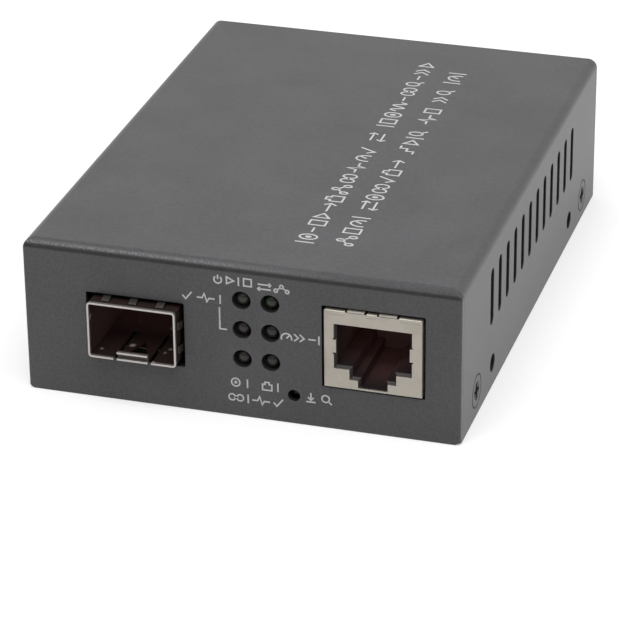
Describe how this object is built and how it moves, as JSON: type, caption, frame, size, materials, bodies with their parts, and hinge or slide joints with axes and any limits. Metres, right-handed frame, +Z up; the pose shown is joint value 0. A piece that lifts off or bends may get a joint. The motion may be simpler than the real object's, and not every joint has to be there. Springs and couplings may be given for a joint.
{
  "type": "fibre media converter",
  "caption": "Small dark grey steel box that converts between a copper network jack and a pluggable fibre module slot, with indicator lights and a barrel power inlet.",
  "frame": {"origin": "middle of the overall footprint, on the surface that the housing stands on", "axes": "+X to the right seen from the front, front towards -Y, depth along Y, +Z up"},
  "size_m": [0.07, 0.0962, 0.026],
  "materials": {
    "housing_coat": "fine-textured dark grey powder coat, matt",
    "screw_steel": "dark plated screw steel",
    "bright_steel": "bright zinc-plated steel",
    "cage_metal": "stamped nickel silver with bright cut edges",
    "shield_metal": "matt tin-plated stamped shield",
    "spring_metal": "plated copper alloy spring strip",
    "contact_gold": "gold-plated contact wire",
    "black_plastic": "moulded black plastic, slightly glossy",
    "board_laminate": "green solder-masked glass laminate",
    "led_green": "unlit tinted epoxy lens, green tint",
    "led_amber": "unlit tinted epoxy lens, brown tint",
    "led_violet": "unlit tinted epoxy lens, violet tint",
    "chip_black": "moulded black package resin",
    "can_aluminium": "drawn aluminium can",
    "ferrite_grey": "pressed ferrite"
  },
  "bodies": {
    "housing": {"cover": "housing_coat", "base": "housing_coat", "cover_screws": "screw_steel", "standoffs": "bright_steel", "board_screws": "bright_steel", "circuit_board": "board_laminate", "sfp_cage": "cage_metal", "sfp_spring_collar": "spring_metal", "sfp_connector": "black_plastic", "sfp_contacts": "contact_gold", "jack_shield": "shield_metal", "jack_body": "black_plastic", "jack_contacts": "contact_gold", "led_holder_left": "black_plastic", "led_holder_right": "black_plastic", "led_leads": "bright_steel", "led_top_left": "led_green", "led_top_right": "led_green", "led_middle_left": "led_amber", "led_middle_right": "led_violet", "led_bottom_left": "led_amber", "led_bottom_right": "led_amber", "diag_switch_body": "black_plastic", "diag_switch_cover": "bright_steel", "power_jack_body": "black_plastic", "power_jack_pin": "bright_steel", "power_jack_spring": "bright_steel", "magnetics": "chip_black", "converter_chip": "chip_black", "memory_chip": "chip_black", "crystals": "bright_steel", "capacitors": "can_aluminium", "power_inductor": "ferrite_grey", "regulators": "chip_black", "chip_components": "chip_black"},
    "diag_push_button": {"diag_button": "black_plastic"}
  },
  "joints": [
    {"name": "diag_press", "type": "slide", "parent": "housing", "child": "diag_push_button", "axis": [0, 1, 0], "range_m": [0, 0.00025], "stiffness_N_per_m": 200, "springref_m": -0.0001}
  ]
}
